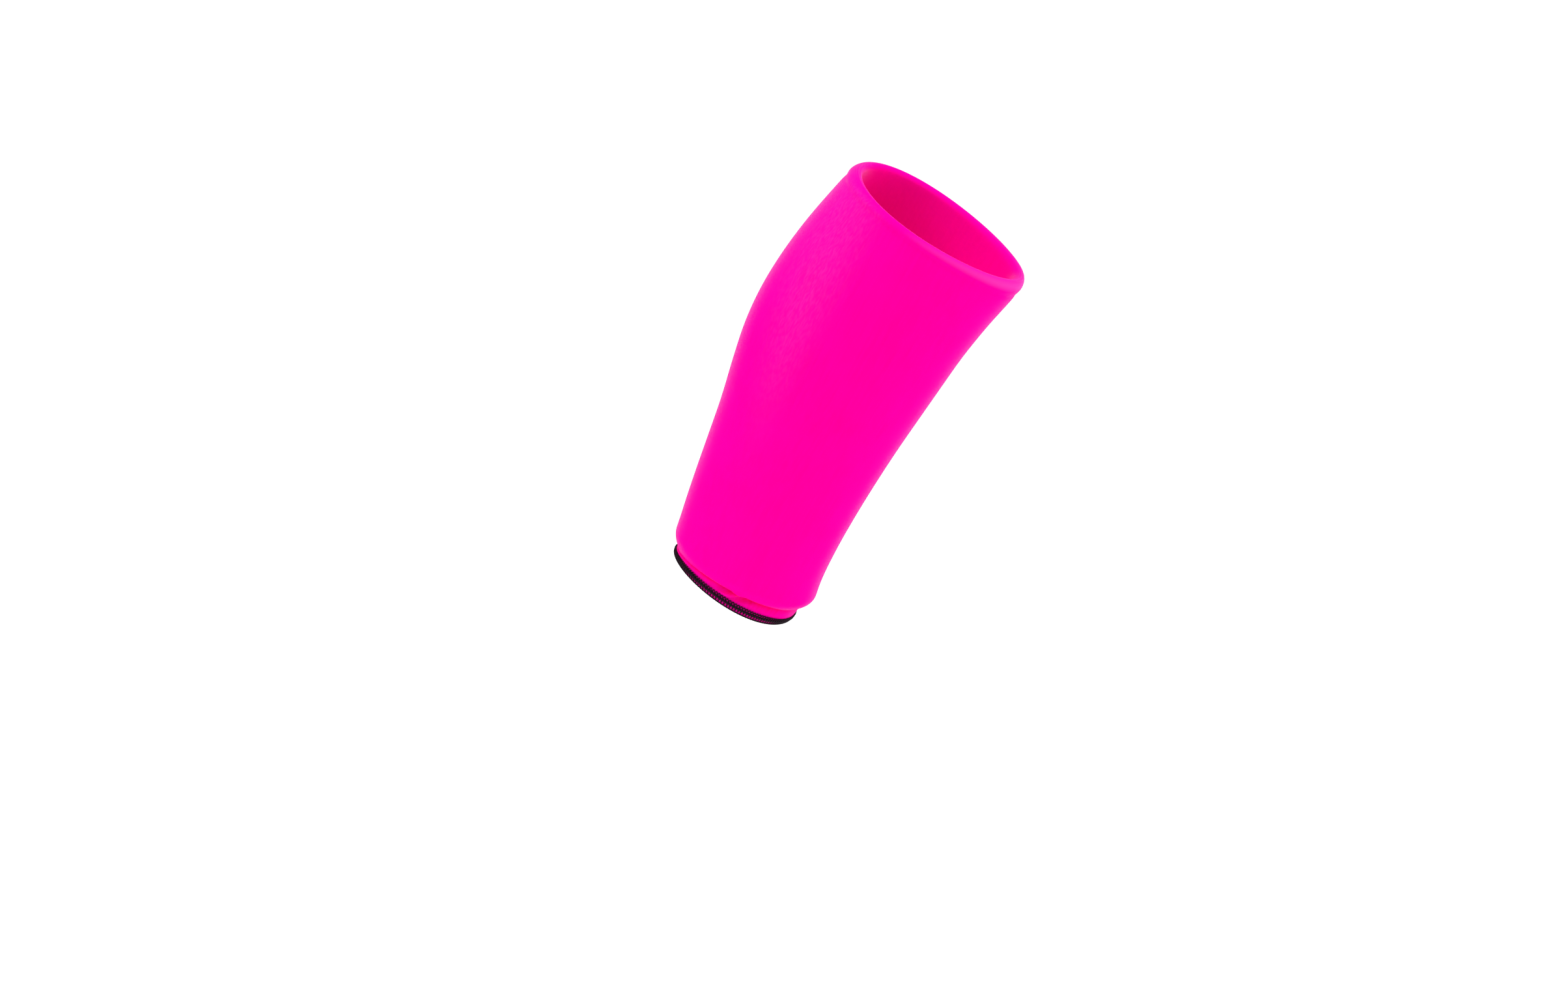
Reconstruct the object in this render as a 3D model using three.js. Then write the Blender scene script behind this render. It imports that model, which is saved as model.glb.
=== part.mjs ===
// Calf cooling sleeve: a stretch-knit tube with a layer of cold gel in its wall, pulled up over the calf.
// Millimetres. +Z runs up the leg to the knee, +X points to the shin and -X to the calf muscle.
// The origin is on the leg's axis, level with the fullest part of the calf, where the sleeve grips.

import * as THREE from 'three';
import { LoftGeometry } from 'three/addons/geometries/LoftGeometry.js';
import { mergeVertices } from 'three/addons/utils/BufferGeometryUtils.js';

// Driving dimensions. Heights are measured from the hem's edge.
const RIM_HEIGHT = 254;     // middle of the top rim
const RIM_RISE = 4.8;       // the rim stands this much higher at the calf, and lower at the shin
const SEAT_HEIGHT = 170;    // fullest calf
const WALL = 7.5;           // gel with the cover on both faces
const RIM_ROUND = 5;        // height of the rim's rounded top
const LIP_HEIGHT = 12;      // rolled cover at the rim, down to the soft groove under it
const LIP_PROUD = 0.3;      // the roll's swell at the shin and the calf
const GROOVE_DEPTH = 0.5;   // the groove under the roll
const GROOVE_FADE = 12;     // height over which the groove runs out into the wall
const FOOT_HEIGHT = 9;      // rounding of the padding's lower end
const HEM_THICK = 2;        // two plies of the cover, with no gel between them
const HEM_LAP = 4;          // the hem's upper edge, tucked up behind the padding
const OVERLOCK_HEIGHT = 5.5;   // stitched band over the hem's edge
const THREAD = 0.7;         // overlock thread as it lies on each face of the hem
const GAP = 0.3;            // clearance between pieces
const FLATS = 72;           // flats round the leg
const WALL_ROWS = 14;       // rings up each face of the wall
const ROUND_ROWS = 8;       // rings over the rim and the padding's lower end
const HEM_ROWS = 4;         // rings down the hem's free part
const STITCHED_ROWS = 3;    // rings down its overlocked part

// Outer form of the wall up the leg. Back, front and side are distances from the leg's axis.
// A positive taper narrows a section towards the shin, and a negative one towards the calf.
const SECTIONS = [
  { height: 0, back: 44.3, front: 44.8, side: 41.2, taper: -0.10 },
  { height: 17, back: 46.2, front: 44.7, side: 42.0, taper: -0.07 },
  { height: 29, back: 48.5, front: 43.0, side: 42.6, taper: -0.05 },
  { height: 53, back: 52.6, front: 41.7, side: 44.0, taper: -0.02 },
  { height: 77, back: 56.3, front: 41.8, side: 45.8, taper: 0.01 },
  { height: 101, back: 60.1, front: 42.7, side: 48.0, taper: 0.04 },
  { height: 125, back: 65.0, front: 44.2, side: 51.2, taper: 0.06 },
  { height: 149, back: 69.1, front: 46.3, side: 54.0, taper: 0.08 },
  { height: 170, back: 70.3, front: 48.2, side: 55.2, taper: 0.10 },
  { height: 190, back: 69.4, front: 50.1, side: 55.6, taper: 0.11 },
  { height: 215, back: 66.2, front: 54.1, side: 55.6, taper: 0.12 },
  { height: 239, back: 61.3, front: 59.0, side: 55.5, taper: 0.12 },
  { height: 262, back: 55.8, front: 60.9, side: 55.4, taper: 0.12 },
];

// Lower end round the leg, in degrees from the shin by way of the inner side: where the padding ends,
// where the hem's edge lies, and how far the hem leans outwards by the time it reaches its edge.
const LOWER_END = [
  { around: 0, padEnd: 10.0, hemEdge: 0.6, flare: -0.8 },
  { around: 90, padEnd: 10.0, hemEdge: 0.6, flare: -0.6 },
  { around: 180, padEnd: 7.4, hemEdge: 1.0, flare: 0.4 },
  { around: 270, padEnd: 11.5, hemEdge: 0.4, flare: -1.2 },
];

// Puckers of the hem between the padding and the overlock: place, swell outwards, half-width in degrees.
const HEM_FOLDS = [
  { around: 274, out: 1.5, spread: 12 },
  { around: 304, out: -0.8, spread: 16 },
  { around: 236, out: -0.6, spread: 18 },
];

// A smooth reading of a table's columns at any place along its first column.
function smoothTable(rows, placeColumn) {
  const columns = Object.keys(rows[0]).filter((name) => name !== placeColumn);
  const places = rows.map((row) => row[placeColumn]);
  const values = rows.flatMap((row) => columns.map((name) => row[name]));
  const spline = new THREE.CubicInterpolant(places, values, columns.length);
  return (place) => {
    const found = spline.evaluate(place);
    return Object.fromEntries(columns.map((name, i) => [name, found[i]]));
  };
}

// The rows of a table that runs once round the leg, repeated on both sides so that its ends join smoothly.
function roundTheLeg(rows) {
  const turned = (turns) => rows.map((row) => ({ ...row, around: row.around + 360 * turns }));
  return [...turned(-1), ...rows, ...turned(1)];
}

const sectionAt = smoothTable(SECTIONS, 'height');
const lowerEndAt = smoothTable(roundTheLeg(LOWER_END), 'around');

// A point of the wall: round the leg by an angle, at a height, set in from the wall's outer face.
function wallPoint(angle, { inset, height }) {
  const { back, front, side, taper } = sectionAt(height);
  const halfDepth = (front + back) / 2;
  const middle = (front - back) / 2;
  const along = Math.cos(angle);
  const across = Math.sin(angle);
  const facing = side * (along - taper * Math.cos(2 * angle));
  const outward = new THREE.Vector2(facing, halfDepth * across).normalize();
  const x = middle + halfDepth * along - inset * outward.x;
  const y = side * across * (1 - taper * along) - inset * outward.y;
  return new THREE.Vector3(x, y, height - SEAT_HEIGHT);
}

// A closed shell round the leg. The profile gives the wall's outline at an angle, up its outer face first.
function shellRoundLeg(profileAt) {
  const angles = Array.from({ length: FLATS }, (_, i) => i * 2 * Math.PI / FLATS);
  const profiles = angles.map(profileAt);
  const rings = profiles[0].map((_, row) => angles.map((angle, i) => wallPoint(angle, profiles[i][row])));
  const loft = new LoftGeometry([...rings, rings[0]]);
  loft.deleteAttribute('normal');
  loft.deleteAttribute('uv');
  const shell = mergeVertices(new THREE.BufferGeometry().copy(loft));
  shell.computeVertexNormals();
  return shell;
}

// Evenly spaced heights, both ends included.
function evenHeights(from, to, count) {
  return Array.from({ length: count }, (_, i) => THREE.MathUtils.lerp(from, to, i / (count - 1)));
}

// Outline points of one face of the padded wall.
function faceRows(inset, from, to) {
  return evenHeights(from, to, WALL_ROWS).map((height) => ({ inset, height }));
}

// Outline points of a rounded end: an arc of an ellipse, turned clockwise from one angle to another.
function roundedEnd(inset, height, width, rise, fromAngle, toAngle) {
  const arc = new THREE.EllipseCurve(inset, height, width, rise, fromAngle, toAngle, true);
  return arc.getPoints(ROUND_ROWS).map((point) => ({ inset: point.x, height: point.y }));
}

// The lower end at an angle: where the padding and the hem end, and the hem's shift outwards at any height.
function lowerEnd(angle) {
  const degrees = THREE.MathUtils.radToDeg(angle);
  const { padEnd, hemEdge, flare } = lowerEndAt(degrees);
  const overlockTop = hemEdge + OVERLOCK_HEIGHT;
  const pucker = HEM_FOLDS.reduce((sum, { around, out, spread }) => {
    const away = Math.min(Math.abs(degrees - around) / spread, 1);
    return sum + out * (1 + Math.cos(Math.PI * away)) / 2;
  }, 0);
  const shareBelowPad = (height, end) => THREE.MathUtils.clamp((padEnd - height) / (padEnd - end), 0, 1);
  const shiftAt = (height) => (
    flare * shareBelowPad(height, hemEdge) + pucker * Math.sin(Math.PI * shareBelowPad(height, overlockTop)));
  return { padEnd, hemEdge, overlockTop, shiftAt };
}

// Gel-padded wall: the cover's outer ply, rolled over the rim and down the inside, with the gel enclosed.
function paddedWallProfile(angle) {
  const { padEnd } = lowerEnd(angle);
  const rim = RIM_HEIGHT - RIM_RISE * Math.cos(angle);
  const proud = LIP_PROUD * Math.cos(angle) ** 2;
  const footWidth = WALL - HEM_THICK - GAP;
  const footTop = padEnd + FOOT_HEIGHT;
  const grooveHeight = rim - LIP_HEIGHT;
  const rimBase = rim - RIM_ROUND;
  const rimMiddle = (WALL - proud) / 2;
  const rimHalf = (WALL + proud) / 2;
  return [
    ...roundedEnd(footWidth, footTop, footWidth, FOOT_HEIGHT, 1.5 * Math.PI, Math.PI).slice(0, -1),
    ...faceRows(0, footTop, grooveHeight - GROOVE_FADE),
    { inset: GROOVE_DEPTH, height: grooveHeight },
    { inset: GROOVE_DEPTH / 2 - proud / 2, height: (grooveHeight + rimBase) / 2 },
    ...roundedEnd(rimMiddle, rimBase, rimHalf, RIM_ROUND, Math.PI, 0).slice(0, -1),
    ...faceRows(WALL, rimBase, padEnd + HEM_LAP),
    { inset: footWidth, height: padEnd + HEM_LAP },
  ];
}

// Hem band: the cover's two plies below the gel, held behind the padding and running down to the overlock.
function hemProfile(angle) {
  const { padEnd, hemEdge, overlockTop, shiftAt } = lowerEnd(angle);
  const clothEdge = hemEdge + THREAD + GAP;
  const downFace = [
    padEnd + HEM_LAP - GAP,
    ...evenHeights(padEnd, overlockTop, HEM_ROWS),
    ...evenHeights(overlockTop, clothEdge, STITCHED_ROWS).slice(1),
  ];
  const face = (inset, height) => ({ inset: inset - shiftAt(height), height });
  return [
    ...downFace.toReversed().map((height) => face(WALL - HEM_THICK, height)),
    ...downFace.map((height) => face(WALL, height)),
  ];
}

// Overlock edge: thread wrapped over the hem's cut edge, a channel with a limb on each face.
function overlockProfile(angle) {
  const { hemEdge, overlockTop, shiftAt } = lowerEnd(angle);
  const middle = (hemEdge + overlockTop) / 2;
  const floor = hemEdge + THREAD;
  const outerFace = WALL - HEM_THICK - GAP;
  const innerFace = WALL + GAP;
  const face = (inset, height) => ({ inset: inset - shiftAt(height), height });
  return [
    face(outerFace - THREAD / 2, hemEdge),
    face(outerFace - THREAD, floor),
    face(outerFace - THREAD, middle),
    face(outerFace - THREAD, overlockTop),
    face(outerFace, overlockTop),
    face(outerFace, middle),
    face(outerFace, floor),
    face(innerFace, floor),
    face(innerFace, middle),
    face(innerFace, overlockTop),
    face(innerFace + THREAD, overlockTop),
    face(innerFace + THREAD, middle),
    face(innerFace + THREAD, floor),
    face(innerFace + THREAD / 2, hemEdge),
  ];
}

function namedPiece(name, profileAt, finish) {
  const piece = new THREE.Mesh(shellRoundLeg(profileAt), new THREE.MeshStandardMaterial(finish));
  piece.name = name;
  return piece;
}

const sleeve = new THREE.Group();
sleeve.add(
  namedPiece('padded_wall', paddedWallProfile, { color: 0xff0aa4, roughness: 0.75, metalness: 0 }),
  namedPiece('hem_band', hemProfile, { color: 0xec0a78, roughness: 0.8, metalness: 0 }),
  namedPiece('overlock_edge', overlockProfile, { color: 0x1a1016, roughness: 0.65, metalness: 0 }),
);

export default sleeve;
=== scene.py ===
import bpy
import numpy as np
from mathutils import Matrix, Vector


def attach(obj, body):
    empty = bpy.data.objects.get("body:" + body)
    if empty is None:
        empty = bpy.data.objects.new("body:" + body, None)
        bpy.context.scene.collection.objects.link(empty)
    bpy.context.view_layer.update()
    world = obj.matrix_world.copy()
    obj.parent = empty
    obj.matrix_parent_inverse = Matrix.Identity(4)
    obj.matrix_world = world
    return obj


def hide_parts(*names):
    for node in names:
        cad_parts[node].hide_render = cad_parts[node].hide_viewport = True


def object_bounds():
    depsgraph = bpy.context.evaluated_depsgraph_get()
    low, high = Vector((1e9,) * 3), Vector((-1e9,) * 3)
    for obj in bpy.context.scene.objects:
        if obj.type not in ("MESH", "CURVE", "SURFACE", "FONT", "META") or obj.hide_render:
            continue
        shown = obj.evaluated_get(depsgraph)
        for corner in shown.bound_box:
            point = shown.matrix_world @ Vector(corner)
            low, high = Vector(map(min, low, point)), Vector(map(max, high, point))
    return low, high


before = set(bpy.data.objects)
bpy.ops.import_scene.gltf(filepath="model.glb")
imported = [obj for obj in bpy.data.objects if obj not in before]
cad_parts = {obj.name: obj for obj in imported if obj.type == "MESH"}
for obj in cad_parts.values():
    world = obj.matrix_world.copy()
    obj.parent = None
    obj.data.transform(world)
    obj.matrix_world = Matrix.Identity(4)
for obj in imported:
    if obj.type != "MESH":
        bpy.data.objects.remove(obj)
cad_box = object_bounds()

# Padded wall
# The sleeve itself: a tube of fine pink stretch knit with a layer of soft gel closed in between its plies.
# The cover is folded over the gel as a rolled rim at the upper end and sewn shut under it at the lower end.
# It is modelled round a plain tube, brought to its worn form, and then blown out by the gel's pressure.
MM = 0.001
SEAT_HEIGHT = 170 * MM       # the frame's origin, above the hem's edge
RIM_HEIGHT = 254 * MM        # middle of the rim
RIM_RISE = 4.8 * MM          # the rim stands this much higher at the back, and lower at the front
RIM_TILT_FROM = 100 * MM     # the slant of the rim starts at this height
WALL = 7.5 * MM              # gel with the cover on both faces
PAD_END = 10 * MM            # lower end of the gel, above the hem's edge
FOOT_HEIGHT = 9.5 * MM       # rounding of the gel's lower end
FOOT_CURVE = 2               # its curve, where 1 would be a straight slant in to the hem
FOOT_FADE = 6 * PAD_END      # above this height the foot's uneven line has run out
LIP = 8 * MM                 # the rolled rim, down to the groove under it
LIP_FADE = 45 * MM           # below this depth the groove's own slant has run out
GROOVE = 0.9 * MM            # depth of the groove
GROOVE_REACH = 3 * MM        # its reach up and down the wall
ROLL_PROUD = 0.3 * MM        # the roll's swell over the wall
ROLL_OUTSIDE = 0.66 * LIP    # the roll's height from the outer face to its top
ROLL_INSIDE = 0.55 * LIP     # and from the inner face
HEM_THICK = 2 * MM           # the two plies below the gel
HEM_LAP = 4 * MM             # the hem's upper edge behind the padding
INNER_PLY_SHARE = 0.3        # how far the hem's inner face follows a pucker
CLEARANCE = 0.2 * MM         # between the padding and the hem tucked in behind it
SEAM_BITE = 0.1 * MM         # the foot's edge is sewn into the hem's outer ply
TUBE = 60 * MM               # radius of the plain tube that each piece is modelled round
AROUND = 144                 # flats round the tube
OUTER_RINGS = 32             # rings of the mesh up the wall's outer face
ROLL_RINGS = 9               # over the roll
INNER_RINGS = 24             # and down the inner face
SLACK = 0.3 * MM             # the cover lies this far in before the gel fills it
GEL_PRESSURE = 4             # the cloth simulation's pressure
FILL_FRAMES = 20             # and its length
HELD_GROOVE = 0.8 * MM       # the cover is held this far to each side of the groove
HELD_FOOT = 0.35 * FOOT_HEIGHT   # this far up from the foot's seam
HELD_INSIDE = 0.6 * WALL     # and from this depth in
OVERLOCK = 5.5 * MM          # height of the stitched band on the hem's edge

# Outer form up the sleeve, in millimetres. Back, front and side are distances from its axis, and a positive
# taper narrows a section towards the front.
SECTION_COLUMNS = ("height", "back", "front", "side", "taper")
SECTIONS = np.array([
    (0, 44.3, 44.8, 41.2, -0.10),
    (17, 46.2, 44.7, 42.0, -0.07),
    (29, 48.5, 43.0, 42.6, -0.05),
    (53, 52.6, 41.7, 44.0, -0.02),
    (77, 56.3, 41.8, 45.8, 0.01),
    (101, 60.1, 42.7, 48.0, 0.04),
    (125, 65.0, 44.2, 51.2, 0.06),
    (149, 69.1, 46.3, 54.0, 0.08),
    (170, 70.3, 48.2, 55.2, 0.10),
    (190, 69.4, 50.1, 55.6, 0.11),
    (215, 66.2, 54.1, 55.6, 0.12),
    (239, 61.3, 59.0, 55.5, 0.12),
    (262, 55.8, 60.9, 55.4, 0.12),
])

# Puckers of the hem under the padding's foot: a fold, two creases beside it, and a broad swell at the back.
# At the padding and at the overlock they lie at these degrees round the sleeve. They stand out by so many
# millimetres, so many degrees wide to each side, in full between two heights, and are gone at a third.
PUCKERS = (
    # at_padding, at_overlock, out, half_width, full_from, full_to, gone_at
    (276, 264, 2.8, 7, 7, 10, 13),
    (262, 257, -2.2, 11, 9.6, 9.7, 10),
    (284, 271, -2.8, 13, 8.6, 9.7, 10),
    (205, 205, 1.2, 45, 7, 10, 10.5),
)


def section_at(height, column):
    """A column of the sleeve's table at any height, on a smooth curve through its rows."""
    rows = SECTIONS[:, 0] * MM
    values = SECTIONS[:, SECTION_COLUMNS.index(column)]
    slopes = np.gradient(values, rows)
    row = np.clip(np.searchsorted(rows, height) - 1, 0, len(rows) - 2)
    span = rows[row + 1] - rows[row]
    t = (height - rows[row]) / span
    start = values[row] * (1 + 2 * t) * (1 - t) ** 2 + slopes[row] * span * t * (1 - t) ** 2
    end = values[row + 1] * t ** 2 * (3 - 2 * t) - slopes[row + 1] * span * t ** 2 * (1 - t)
    return start + end


def round_sleeve(angle, front, inner, back, outer):
    """A size that changes smoothly round the sleeve, from its values at the front, the inner side, the back
    and the outer side."""
    mean = (front + inner + back + outer) / 4
    turn = (front - back) / 2 * np.cos(angle) + (inner - outer) / 2 * np.sin(angle)
    return mean + turn + (front - inner + back - outer) / 4 * np.cos(2 * angle)


def points(piece):
    """The piece's vertices as rows of x, y and z."""
    co = np.empty(len(piece.data.vertices) * 3)
    piece.data.vertices.foreach_get("co", co)
    return co.reshape(-1, 3)


def move_points(piece, co):
    """Puts the piece's vertices at new places, given as rows of x, y and z."""
    piece.data.vertices.foreach_set("co", np.ravel(co))
    piece.data.update()


def pucker_at(angle, height):
    """How far the gathered cloth stands out, round the sleeve and up the hem."""
    down = np.clip((PAD_END - height) / (PAD_END - OVERLOCK), 0, 1)
    swell = np.zeros_like(angle)
    for at_padding, at_overlock, out, half_width, full_from, full_to, gone_at in PUCKERS:
        middle = np.radians(at_padding + (at_overlock - at_padding) * down)
        away = np.degrees(np.angle(np.exp(1j * (angle - middle)))) / half_width
        share = np.interp(height / MM, [OVERLOCK / MM, full_from, full_to, gone_at], [0, 1, 1, 0])
        swell += out * MM * share * (1 + np.cos(np.pi * np.clip(away, -1, 1))) / 2
    return swell


def shape_as_worn(piece):
    """Brings a piece modelled round the plain tube to the sleeve's worn form, with its slanting rim and its
    uneven hem."""
    x, y, height = points(piece).T
    angle = np.arctan2(y, x)
    inset = TUBE - np.hypot(x, y)

    pad_end = round_sleeve(angle, front=11.4, inner=10.0, back=7.4, outer=11.5) * MM
    hem_edge = round_sleeve(angle, front=0.6, inner=0.6, back=3.4, outer=0.4) * MM
    overlock = round_sleeve(angle, front=4.6, inner=5.5, back=3.4, outer=5.9) * MM
    flare = round_sleeve(angle, front=-2.2, inner=-0.6, back=1.2, outer=-1.2) * MM
    lip = round_sleeve(angle, front=11, inner=6, back=7, outer=5) * MM
    groove_depth = round_sleeve(angle, front=0.3, inner=0.6, back=0.35, outer=0.6) * GROOVE
    from_groove = np.abs(height - RIM_HEIGHT + LIP)
    in_groove = np.interp(from_groove, [0, GROOVE_REACH], [1, 0]) * (inset < WALL / 2)
    below_padding = np.maximum(1 - height / PAD_END, 0)
    ply_share = np.interp(inset, [WALL - HEM_THICK, WALL], [1, INNER_PLY_SHARE])
    inset = inset - flare * below_padding - pucker_at(angle, height) * ply_share
    inset = inset + (groove_depth - GROOVE) * in_groove

    low_share = np.interp(height, [PAD_END, FOOT_FADE], [1, 0])
    sewn_height = hem_edge + height / OVERLOCK * overlock
    free_share = (height - OVERLOCK) / (PAD_END - OVERLOCK)
    free_height = (hem_edge + overlock) * (1 - free_share) + pad_end * free_share
    hem_height = np.where(height < OVERLOCK, sewn_height, free_height)
    wall_height = height + (pad_end - PAD_END) * low_share
    tilt = np.clip((height - RIM_TILT_FROM) / (RIM_HEIGHT - RIM_TILT_FROM), 0, None) ** 2
    groove_share = np.interp(RIM_HEIGHT - height, [0, LIP, LIP_FADE], [0, 1, 0])
    rise = -RIM_RISE * np.cos(angle) * tilt - (lip - LIP) * groove_share
    height = np.where(height < PAD_END, hem_height, wall_height + rise)

    back, front, side = (section_at(height, name) * MM for name in ("back", "front", "side"))
    taper = section_at(height, "taper")
    half_depth = (front + back) / 2
    facing = side * (np.cos(angle) - taper * np.cos(2 * angle))
    across = half_depth * np.sin(angle)
    length = np.hypot(facing, across)
    worn_x = (front - back) / 2 + half_depth * np.cos(angle) - inset * facing / length
    worn_y = side * np.sin(angle) * (1 - taper * np.cos(angle)) - inset * across / length
    move_points(piece, np.stack([worn_x, worn_y, height - SEAT_HEIGHT], axis=1))


def tube_of_rings(name, rings):
    """A closed wall round the plain tube: a circle, drawn out ring by ring along the wall's outline, and then
    joined up. A ring is its inset from the tube and its height."""
    bpy.ops.object.select_all(action="DESELECT")
    inset, height = rings[0]
    bpy.ops.mesh.primitive_circle_add(vertices=AROUND, radius=TUBE - inset, location=(0, 0, height))
    bpy.ops.object.transform_apply(location=True)
    bpy.ops.object.mode_set(mode="EDIT")
    bpy.ops.mesh.select_all(action="SELECT")
    for next_inset, next_height in rings[1:]:
        grow = (TUBE - next_inset) / (TUBE - inset)
        bpy.ops.mesh.extrude_edges_move(TRANSFORM_OT_translate={"value": (0, 0, next_height - height)})
        bpy.ops.transform.resize(value=(grow, grow, 1), center_override=(0, 0, next_height))
        inset, height = next_inset, next_height
    bpy.ops.mesh.select_mode(type="EDGE")
    bpy.ops.mesh.select_all(action="DESELECT")
    bpy.ops.mesh.select_non_manifold()
    bpy.ops.mesh.bridge_edge_loops()
    bpy.ops.mesh.select_all(action="SELECT")
    bpy.ops.mesh.normals_make_consistent(inside=False)
    bpy.ops.object.mode_set(mode="OBJECT")
    piece = bpy.context.active_object
    piece.name = name
    return piece


def apply_modifier(piece, kind, **settings):
    """Adds a modifier, sets it up and applies it."""
    modifier = piece.modifiers.new(kind.title(), kind)
    for name, value in settings.items():
        setattr(modifier, name, value)
    bpy.context.view_layer.objects.active = piece
    bpy.ops.object.modifier_apply(modifier=modifier.name)


def lay_out_knit(piece):
    """A map of the knit in metres: round the tube, and up the outer face, over the rim and down the inner
    face."""
    x, y, height = points(piece).T
    angle = np.arctan2(y, x)
    inner_from = np.where(height > PAD_END + FOOT_HEIGHT, WALL / 2, WALL - HEM_THICK / 2)
    inner = TUBE - np.hypot(x, y) > inner_from
    along = np.where(inner, 2 * RIM_HEIGHT - height, height)
    corners = np.empty(len(piece.data.loops), dtype=np.int64)
    piece.data.loops.foreach_get("vertex_index", corners)
    around = angle[corners].reshape(-1, 4)
    past_cut = (np.ptp(around, axis=1) > np.pi)[:, None] & (around < 0)
    around = np.where(past_cut, around + 2 * np.pi, around).ravel()
    knit_map = piece.data.uv_layers.new(name="Knit")
    knit_map.data.foreach_set("uv", np.stack([around * TUBE, along[corners]], axis=1).ravel())


def blow_out(piece, held, most):
    """Fills a cover by cloth simulation under pressure. Held points stay, the gel lets no point move in, and
    none moves out further than most."""
    before = points(piece)
    normals = np.empty(before.size)
    piece.data.vertex_normals.foreach_get("vector", normals)
    normals = normals.reshape(-1, 3)
    group = piece.vertex_groups.new(name="Held")
    group.add([int(i) for i in np.flatnonzero(held)], 1, "REPLACE")
    cloth = piece.modifiers.new("Gel", "CLOTH")
    cloth.settings.quality = 6
    cloth.settings.mass = 0.2
    cloth.settings.tension_stiffness = 3
    cloth.settings.compression_stiffness = 3
    cloth.settings.shear_stiffness = 2
    cloth.settings.bending_stiffness = 0.5
    cloth.settings.vertex_group_mass = "Held"
    cloth.settings.use_pressure = True
    cloth.settings.uniform_pressure_force = GEL_PRESSURE
    cloth.settings.effector_weights.gravity = 0
    cloth.point_cache.frame_start = 1
    cloth.point_cache.frame_end = FILL_FRAMES
    for step in range(1, FILL_FRAMES + 1):
        bpy.context.scene.frame_set(step)
    bpy.context.view_layer.objects.active = piece
    bpy.ops.object.modifier_apply(modifier=cloth.name)
    swell = np.sum((points(piece) - before) * normals, axis=1, keepdims=True)
    move_points(piece, before + normals * most * np.tanh(np.maximum(swell, 0) / most))
    bpy.context.scene.frame_set(1)


# The wall's outline, from the foot up the outer face, over the rim, down the inner face and out to the foot.
foot_width = WALL - HEM_THICK + SEAM_BITE
foot_top = PAD_END + FOOT_HEIGHT
foot_steps = (0, 0.03, *np.linspace(0.15, 1, 6))
foot_rings = [(foot_width * (1 - t) ** FOOT_CURVE, PAD_END + FOOT_HEIGHT * t) for t in foot_steps]
groove_height = RIM_HEIGHT - LIP
outer_rings = [(SLACK, h) for h in np.linspace(foot_top + 6 * MM, groove_height - 7 * MM, OUTER_RINGS)]
groove_rings = [
    (SLACK * 0.7, groove_height - GROOVE_REACH),
    (GROOVE + SLACK / 2, groove_height - 0.7 * MM),
    (GROOVE + SLACK / 2, groove_height + 0.3 * MM),
]
rim_rings = []
for turn in np.linspace(0, np.pi, ROLL_RINGS):
    roll_height = ROLL_OUTSIDE if turn < np.pi / 2 else ROLL_INSIDE
    roll_inset = (WALL + ROLL_PROUD) / 2 * (1 - np.cos(turn)) - ROLL_PROUD
    rim_rings.append((roll_inset, RIM_HEIGHT - roll_height * (1 - np.sin(turn))))
inner_rings = [(WALL, h) for h in np.linspace(groove_height - 4 * MM, PAD_END + HEM_LAP, INNER_RINGS)]
rebate_inset = WALL - HEM_THICK - CLEARANCE
rebate_rings = [(rebate_inset, PAD_END + HEM_LAP), (foot_width, PAD_END + 0.3 * MM)]

padded_wall = tube_of_rings(
    "padded_wall_cover", foot_rings + outer_rings + groove_rings + rim_rings + inner_rings + rebate_rings)
lay_out_knit(padded_wall)
plain = points(padded_wall)
plain_inset = TUBE - np.hypot(plain[:, 0], plain[:, 1])
plain_height = plain[:, 2]
in_groove = np.abs(plain_height - groove_height) < HELD_GROOVE
in_foot_seam = plain_height < PAD_END + HELD_FOOT
on_inner_face = plain_inset > HELD_INSIDE
shape_as_worn(padded_wall)
blow_out(padded_wall, held=in_groove | in_foot_seam | on_inner_face, most=2 * SLACK)
apply_modifier(padded_wall, "SUBSURF", levels=1, render_levels=1)
bpy.ops.object.shade_smooth()


class Value:
    """A value in a material. Sums and products of values add Math nodes, and node() adds any other node."""

    def __init__(self, tree, socket=None):
        self.tree = tree
        self.socket = socket

    def node(self, kind, settings=None, inputs=None, output=0):
        """Adds a node, sets it up, feeds its sockets with numbers or values, and gives one of its outputs."""
        made = self.tree.nodes.new(kind)
        for name, setting in (settings or {}).items():
            setattr(made, name, setting)
        for name, fed in (inputs or {}).items():
            if isinstance(fed, Value):
                self.tree.links.new(fed.socket, made.inputs[name])
            else:
                made.inputs[name].default_value = fed
        return Value(self.tree, made.outputs[output])

    def math(self, operation, *operands):
        """Adds a Math node on the operands, in their order."""
        return self.node("ShaderNodeMath", {"operation": operation}, dict(enumerate(operands)))

    def __add__(self, other):
        return self.math("ADD", self, other)

    def __sub__(self, other):
        return self.math("SUBTRACT", self, other)

    def __mul__(self, other):
        return self.math("MULTIPLY", self, other)

    def __truediv__(self, other):
        return self.math("DIVIDE", self, other)

    def __radd__(self, other):
        return self.math("ADD", other, self)

    def __rsub__(self, other):
        return self.math("SUBTRACT", other, self)

    def __rmul__(self, other):
        return self.math("MULTIPLY", other, self)

    def feed(self, shader, socket_name):
        """Joins the value to a socket of the material's shader."""
        self.tree.links.new(self.socket, shader.inputs[socket_name])


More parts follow.
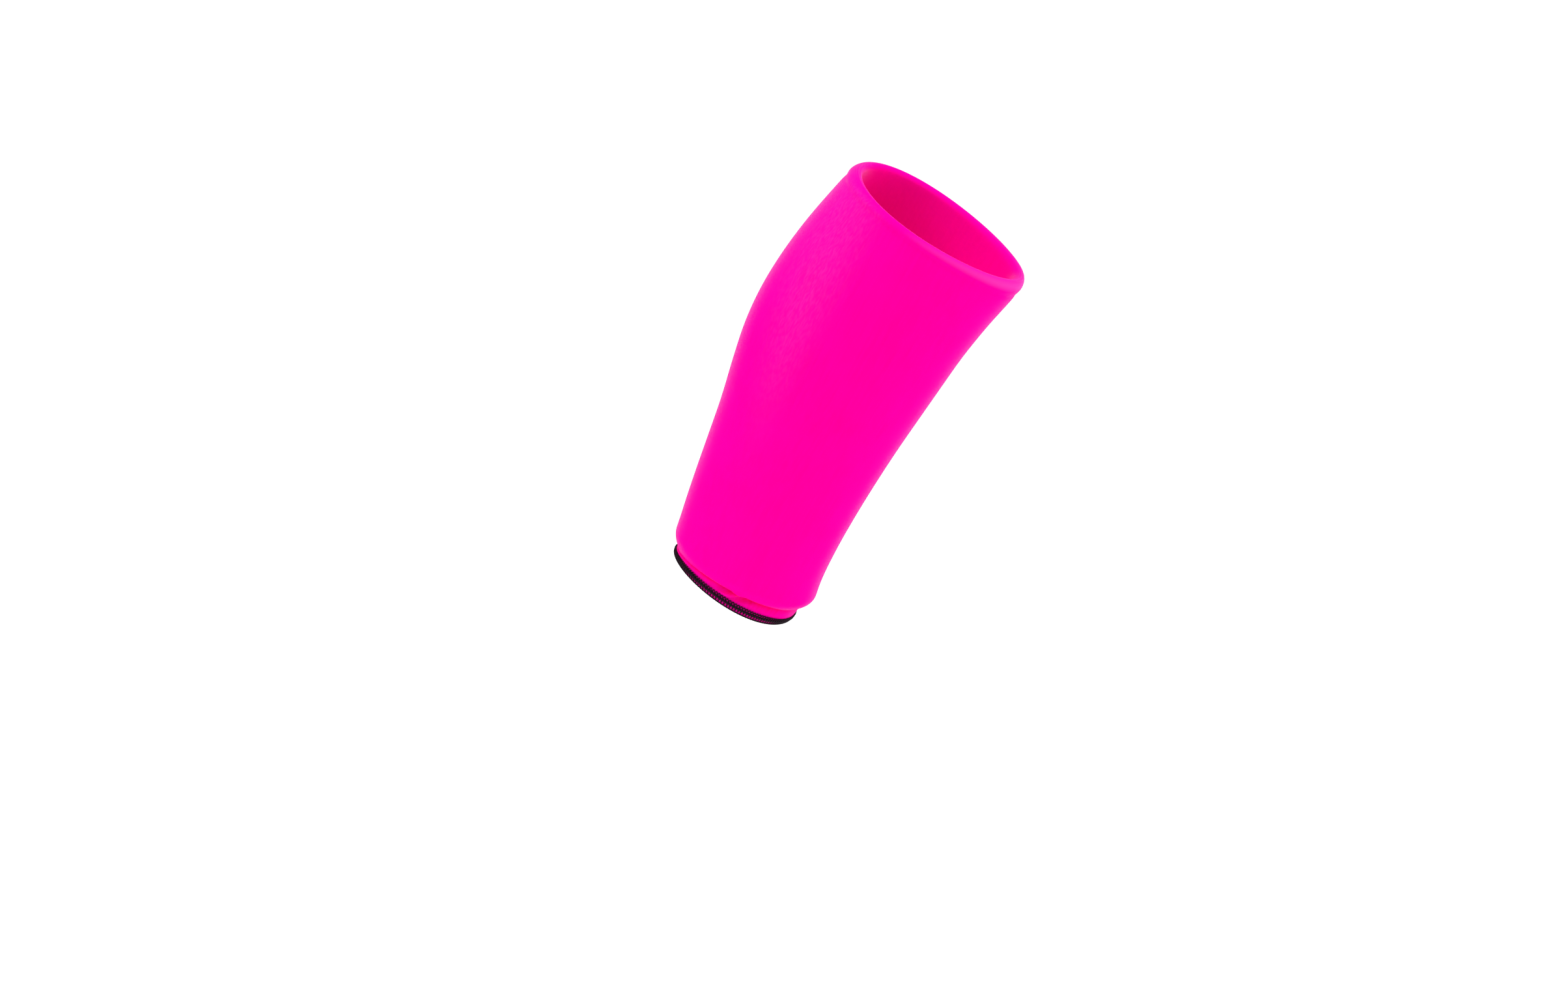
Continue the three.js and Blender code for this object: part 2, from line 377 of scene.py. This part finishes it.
WALE = TUBE * 2 * np.pi / 480     # one column of stitches, 480 round the sleeve
COURSE = 0.55 * MM                # one row of stitches
STREAKS = (900, 900, 22)          # to the metre: fine across the sleeve, drawn out along it
FLECK_HIGHLIGHT_SCALE = (1100, 1100, 260)   # the same for the painted highlight's flecks, which are shorter
CLOUDS = 45                       # to the metre
DYE_CONTRAST = 1.6                # of the streaks and clouds
STITCH_SHADE = 0.35               # painted shade between stitches
LEAST_PAINTED_SHADE = 0.2              # what is left of the painted shade under the padding at the front and the back
FLECK_HIGHLIGHT_SLANT = 0.37                # of the line at the back above which the painted highlight's flecks show
FLECK_HIGHLIGHT_GROUND = 0.09               # how pale the painted highlight leaves the knit between the flecks
FLECK_HIGHLIGHT_RANGE = 0.85                # and how much paler the highlight's flecks are
PINK = (1.0, 0.0, 0.35, 1)
# the deeper dye of the streaks, and the painted shade between stitches
DEEP_DYE_AND_SHADE_PINK = (0.92, 0.0, 0.27, 1)
HIGHLIGHT_PINK = (1.0, 0.035, 0.42, 1)   # painted highlight on the roll and in flecks at the upper back
SHEEN_PINK = (1.0, 0.5, 0.9, 1)     # its nap, seen at a low angle


def stretch_knit(name, colour, deep_dye_and_shade_colour, deepest_painted_shade=0):
    """Fine jersey: columns of small V stitches, with lengthwise streaks and a soft cloudiness of the dye, and
    painted shade between the stitches. Painted shade deepens its colour under the padding, and a painted
    highlight pales it on the roll, more towards the front, and in flecks of thread over the upper back."""
    material = bpy.data.materials.new(name)
    material.use_nodes = True
    tree = material.node_tree
    shader = tree.nodes["Principled BSDF"]
    knit = Value(tree)

    knit_map = knit.node("ShaderNodeUVMap", {"uv_map": "Knit"})
    around = knit.node("ShaderNodeSeparateXYZ", inputs={"Vector": knit_map}, output="X")
    along = knit.node("ShaderNodeSeparateXYZ", inputs={"Vector": knit_map}, output="Y")
    across_wale = knit.math("FRACT", around / WALE) - 0.5
    from_middle = knit.math("ABSOLUTE", across_wale)
    rows = 0.8 + 0.2 * knit.math("COSINE", (along / COURSE + from_middle) * (2 * np.pi))
    legs = knit.math("SINE", from_middle * (2 * np.pi))
    stitches = legs * rows

    place = knit.node("ShaderNodeTexCoord", output="Object")
    drawn_out = knit.node("ShaderNodeMapping", inputs={"Vector": place, "Scale": STREAKS})
    streaks = knit.node("ShaderNodeTexNoise", inputs={"Vector": drawn_out, "Scale": 1, "Detail": 2})
    clouds = knit.node("ShaderNodeTexNoise", inputs={"Vector": place, "Scale": CLOUDS, "Detail": 3})
    worn = 0.55 * streaks + 0.45 * clouds

    # Painted shade under the padding's overhang: deeper towards the padding on the outer ply, most at the
    # sleeve's two sides.
    from_axis = knit.node("ShaderNodeSeparateXYZ", inputs={"Vector": place}, output="X")
    at_side = knit.node("ShaderNodeMapRange", inputs={
        "Value": knit.math("ABSOLUTE", from_axis), "From Min": 18 * MM, "From Max": 42 * MM,
        "To Min": deepest_painted_shade, "To Max": LEAST_PAINTED_SHADE * deepest_painted_shade})
    to_padding = knit.node(
        "ShaderNodeMapRange", inputs={"Value": along, "From Min": OVERLOCK, "From Max": PAD_END})
    outside = knit.math("LESS_THAN", along, 2 * PAD_END)
    painted_shade_under_padding = to_padding * to_padding * at_side * outside
    # Deeper dye in streaks and clouds, with painted shade between the stitches.
    dye_and_stitch_shade = (worn - 0.5) * DYE_CONTRAST + (1 - stitches) * STITCH_SHADE
    depth = knit.math("MAXIMUM", dye_and_stitch_shade + painted_shade_under_padding, 0)
    # The dye's own deeper tone, mixed with the painted shade.
    dyed = knit.node(
        "ShaderNodeMix", {"data_type": "RGBA"},
        {"Factor": depth, "A": colour, "B": deep_dye_and_shade_colour}, output="Result")

    # Painted highlight on the roll, where the light from above catches it, paler and paler towards the front.
    at_front = knit.node(
        "ShaderNodeMapRange", inputs={"Value": from_axis, "From Min": -15 * MM, "From Max": 62 * MM})
    from_crest = knit.math("ABSOLUTE", along - (RIM_HEIGHT - 0.3 * LIP))
    on_roll = knit.node(
        "ShaderNodeMapRange", {"interpolation_type": "SMOOTHSTEP"},
        {"Value": from_crest, "From Min": 0, "From Max": 0.45 * LIP, "To Min": 1, "To Max": 0})

    # Painted highlight in flecks at the upper back, where the light from above and behind falls, above a line
    # that rises backwards.
    at_back = knit.node(
        "ShaderNodeMapRange", {"interpolation_type": "SMOOTHSTEP"},
        {"Value": from_axis, "From Min": -46 * MM, "From Max": -20 * MM, "To Min": 1, "To Max": 0})
    upper_back = knit.node(
        "ShaderNodeMapRange", {"interpolation_type": "SMOOTHSTEP"},
        {"Value": from_axis + along * FLECK_HIGHLIGHT_SLANT, "From Min": -6 * MM, "From Max": 30 * MM})
    below_rim = knit.node("ShaderNodeMapRange", inputs={
        "Value": along, "From Min": RIM_HEIGHT - LIP / 2, "From Max": RIM_HEIGHT, "To Min": 1, "To Max": 0})
    fleck_highlight_place = knit.node("ShaderNodeMapping", inputs={"Vector": place, "Scale": FLECK_HIGHLIGHT_SCALE})
    ticks = knit.node("ShaderNodeTexNoise", inputs={"Vector": fleck_highlight_place, "Scale": 1, "Detail": 1})
    raised = knit.node("ShaderNodeMapRange", inputs={"Value": ticks, "From Min": 0.4, "From Max": 0.75})
    paler = FLECK_HIGHLIGHT_GROUND + FLECK_HIGHLIGHT_RANGE * (raised * stitches * stitches)
    fleck_highlight = paler * at_back * upper_back * below_rim

    # The painted highlights on the roll and in the flecks at the upper back.
    with_painted_highlights = knit.node(
        "ShaderNodeMix", {"data_type": "RGBA"},
        {"Factor": knit.math("MAXIMUM", fleck_highlight, on_roll * at_front), "A": dyed, "B": HIGHLIGHT_PINK},
        output="Result")
    with_painted_highlights.feed(shader, "Base Color")
    (0.72 + 0.2 * clouds).feed(shader, "Roughness")
    relief = knit.node("ShaderNodeBump", inputs={
        "Height": stitches + 0.3 * streaks, "Strength": 0.35, "Distance": 0.12 * MM})
    relief.feed(shader, "Normal")
    shader.inputs["Specular IOR Level"].default_value = 0.0
    shader.inputs["Sheen Weight"].default_value = 0.6
    shader.inputs["Sheen Roughness"].default_value = 0.17
    shader.inputs["Sheen Tint"].default_value = SHEEN_PINK
    return material


padded_wall.data.materials.append(stretch_knit("pink_knit", PINK, DEEP_DYE_AND_SHADE_PINK))
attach(padded_wall, "root")
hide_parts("padded_wall")

# Hem band
# The cover's two plies below the gel, sewn together with nothing between them, so the band lies thinner.
# It is tucked up behind the padding's foot, and it puckers a little where the stretched cloth is gathered.
HEM_EDGE = 0.1 * MM          # the cut edge, inside the overlock
HEM_PINK = (1.0, 0.0, 0.39, 1)
HEM_RED = (0.9, 0.0, 0.12, 1)     # deeper dye, and painted shade between stitches and deep under the padding

hem_heights = [
    PAD_END + HEM_LAP - CLEARANCE,
    PAD_END,
    PAD_END - 0.3 * MM,
    *np.linspace(PAD_END - 0.9 * MM, OVERLOCK, 5),
    3.2 * MM,
    0.8 * MM,
    HEM_EDGE,
]
hem_rings = [(WALL - HEM_THICK, h) for h in reversed(hem_heights)] + [(WALL, h) for h in hem_heights]
hem_band = tube_of_rings("hem_band_cloth", hem_rings)
lay_out_knit(hem_band)
apply_modifier(hem_band, "SUBSURF", levels=1, render_levels=1)
shape_as_worn(hem_band)
bpy.ops.object.shade_smooth()
# The hem's colour carries painted shade under the padding's overhang, at full depth.
hem_band.data.materials.append(stretch_knit("hem_knit", HEM_PINK, HEM_RED, deepest_painted_shade=1.0))
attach(hem_band, "root")
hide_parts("hem_band")

# Overlock edge
# Black textured thread sewn over the hem's cut edge by an overlock machine: loops on the outer face cross
# their neighbours, run under the edge and come up on the inner face, and a thread runs along each line
# of crossings.
STITCHES = 132               # round the hem
PITCH = TUBE * 2 * np.pi / STITCHES
THREAD = 0.36 * MM           # radius where it is drawn tight
OVER_THREAD = 1.1 * THREAD   # a loop's second half crosses over its neighbour by this much
OUTER_FACE = WALL - HEM_THICK - THREAD
INNER_FACE = WALL + THREAD
WELD = 0.02 * MM             # ends of thread this close are one
BLACK = (0.004, 0.001, 0.003, 1)
WORN_BLACK = (0.02, 0.004, 0.014, 1)

# Half a stitch, from its inner end, under the edge and up the outer face to the top of its loop. It lies on
# the inner face (0) or the outer face (1), and the bulked thread swells where it isn't drawn tight.
HALF_STITCH = (
    # along in pitches, height in millimetres, face, swell
    (-0.42, 4.4, 0.0, 1.0),
    (-0.50, 1.0, 0.0, 1.0),
    (-0.50, 0.1, 0.5, 1.0),
    (-0.50, 0.8, 1.0, 0.85),
    (-0.38, 1.8, 1.0, 0.95),
    (-0.18, 3.0, 1.0, 1.9),
    (-0.39, 4.1, 1.0, 1.15),
    (-0.36, 4.6, 1.0, 1.1),
    (-0.20, 5.0, 1.0, 1.1),
    (0.0, 5.1, 1.0, 1.1),
)


def thread(name, route, closed_ends):
    """A thread along a route of points on the straightened hem, each with its place along, inset and height
    in metres, and its swell."""
    bpy.ops.object.select_all(action="DESELECT")
    bpy.ops.curve.primitive_nurbs_path_add()
    piece = bpy.context.active_object
    piece.name = name
    curve = piece.data
    curve.splines.clear()
    spline = curve.splines.new("POLY")
    spline.points.add(len(route) - 1)
    for point, (along, inset, height, swell) in zip(spline.points, route):
        point.co = (along, inset, height, 1)
        point.radius = swell
    curve.bevel_depth = THREAD
    curve.bevel_resolution = 1
    curve.use_fill_caps = closed_ends
    bpy.ops.object.convert(target="MESH")
    return bpy.context.active_object


def sew_round_hem(piece):
    """Repeats one stitch along the hem, rolls the row round the plain tube and brings it to the worn form."""
    apply_modifier(
        piece, "ARRAY", count=STITCHES, use_relative_offset=False, use_constant_offset=True,
        constant_offset_displace=(PITCH, 0, 0), use_merge_vertices=True, merge_threshold=WELD)
    along, inset, height = points(piece).T
    angle = along / TUBE
    radius = TUBE - inset
    move_points(piece, np.stack([radius * np.cos(angle), radius * np.sin(angle), height], axis=1))
    bpy.ops.object.mode_set(mode="EDIT")
    bpy.ops.mesh.select_all(action="SELECT")
    bpy.ops.mesh.remove_doubles(threshold=WELD)
    bpy.ops.mesh.normals_make_consistent(inside=False)
    bpy.ops.object.mode_set(mode="OBJECT")
    shape_as_worn(piece)


loop_route = []
for half in (-1, 1):
    rows = HALF_STITCH if half < 0 else reversed(HALF_STITCH[:-1])
    for along, height, face, swell in rows:
        crossing = OVER_THREAD if half > 0 and face == 1 else 0
        inset = INNER_FACE + (OUTER_FACE - INNER_FACE) * face - crossing
        loop_route.append((-half * along * PITCH, inset, height * MM, swell))
loops = thread("overlock_edge_thread", loop_route, closed_ends=True)
sew_round_hem(loops)


def wavy_line(inset, height, sway, swell):
    """The route of a thread along a line of crossings, for one pitch."""
    steps = np.linspace(0, 1, 5)
    return [(s * PITCH, inset, height + sway * np.sin(2 * np.pi * s), swell) for s in steps]


running_lines = [
    ("crossing_line", wavy_line(OUTER_FACE, height=3.0 * MM, sway=0.15 * MM, swell=1.4)),
    ("edge_line", wavy_line(OUTER_FACE + 0.1 * MM, height=0.35 * MM, sway=0.05 * MM, swell=1)),
    ("inner_line", wavy_line(INNER_FACE, height=4.3 * MM, sway=0.2 * MM, swell=1)),
]
lines = []
for name, route in running_lines:
    line = thread(name, route, closed_ends=False)
    sew_round_hem(line)
    lines.append(line)
bpy.ops.object.select_all(action="DESELECT")
for line in lines:
    line.select_set(True)
loops.select_set(True)
bpy.context.view_layer.objects.active = loops
bpy.ops.object.join()
bpy.ops.object.shade_smooth()


def black_thread():
    """Spun polyester thread: near black, with fine slanting twist and a dull lustre."""
    material = bpy.data.materials.new("black_thread")
    material.use_nodes = True
    tree = material.node_tree
    shader = tree.nodes["Principled BSDF"]
    spun = Value(tree)

    place = spun.node("ShaderNodeTexCoord", output="Object")
    fibres = spun.node("ShaderNodeTexNoise", inputs={"Vector": place, "Scale": 2600, "Detail": 2})
    twist = spun.node(
        "ShaderNodeTexWave", {"bands_direction": "DIAGONAL"},
        {"Vector": place, "Scale": 1100, "Distortion": 1.5}, output="Fac")
    dyed = spun.node(
        "ShaderNodeMix", {"data_type": "RGBA"},
        {"Factor": fibres, "A": BLACK, "B": WORN_BLACK}, output="Result")
    dyed.feed(shader, "Base Color")
    (0.5 + 0.3 * fibres).feed(shader, "Roughness")
    relief = spun.node("ShaderNodeBump", inputs={
        "Height": twist + 0.5 * fibres, "Strength": 0.5, "Distance": 0.06 * MM})
    relief.feed(shader, "Normal")
    shader.inputs["Specular IOR Level"].default_value = 0.12
    return material


loops.data.materials.append(black_thread())
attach(loops, "root")
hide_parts("overlock_edge")

# Studio
# A plain white floor well below the sleeve, an even white surround, and soft lamps at both sides and above,
# so that the sleeve's edges are paler than its middle.
FLOOR_DROP = 0.22            # below the hem's edge
FLOOR_SIZE = 60
bpy.ops.object.select_all(action="DESELECT")
bpy.ops.mesh.primitive_plane_add(size=FLOOR_SIZE, location=(0, 0, cad_box[0][2] - FLOOR_DROP))
floor = bpy.context.active_object
floor.name = "floor"
paper = bpy.data.materials.new("white_paper")
paper.use_nodes = True
paper_shader = paper.node_tree.nodes["Principled BSDF"]
paper_shader.inputs["Base Color"].default_value = (0.93, 0.93, 0.93, 1)
paper_shader.inputs["Roughness"].default_value = 0.9
paper_shader.inputs["Specular IOR Level"].default_value = 0.0
floor.data.materials.append(paper)

surround = bpy.data.worlds.new("surround")
surround.use_nodes = True
surround_light = surround.node_tree.nodes["Background"]
surround_light.inputs["Color"].default_value = (1, 1, 1, 1)
surround_light.inputs["Strength"].default_value = 0.65
bpy.context.scene.world = surround
bpy.context.scene.view_settings.view_transform = "Standard"

bpy.ops.object.light_add(type="SUN", rotation=(np.radians(4), np.radians(-6), 0))
overhead = bpy.context.active_object
overhead.name = "overhead_light"
overhead.data.energy = 1.7
overhead.data.angle = np.radians(60)

LAMPS = (
    # name, place, breadth, power
    ("back_lamp", (-1.5, -0.3, 1.3), 1.2, 13),
    ("front_lamp", (1.6, 0.7, 0.5), 1.2, 15),
)
for name, place, breadth, power in LAMPS:
    bpy.ops.object.light_add(type="AREA", location=place)
    lamp = bpy.context.active_object
    lamp.name = name
    lamp.data.size = breadth
    lamp.data.energy = power
    lamp.rotation_euler = (-Vector(place)).to_track_quat("-Z", "Y").to_euler()

# Camera
# A long lens at the sleeve's outer side, a little above it, rolled so that the sleeve leans to the right.
CAMERA_PLACE = Vector((0, -2.473, 0.770))
CAMERA_AIM = Vector((-0.001, -0.0206, -0.0965))
CAMERA_ROLL = np.radians(29.2)
LENS = 104.2                 # in millimetres
SENSOR = 36                  # its width in millimetres
bpy.ops.object.camera_add(location=CAMERA_PLACE)
camera = bpy.context.active_object
camera.data.lens = LENS
camera.data.sensor_width = SENSOR
facing = (CAMERA_AIM - CAMERA_PLACE).to_track_quat("-Z", "Y").to_matrix()
camera.rotation_euler = (facing @ Matrix.Rotation(CAMERA_ROLL, 3, "Z")).to_euler()
bpy.context.scene.camera = camera
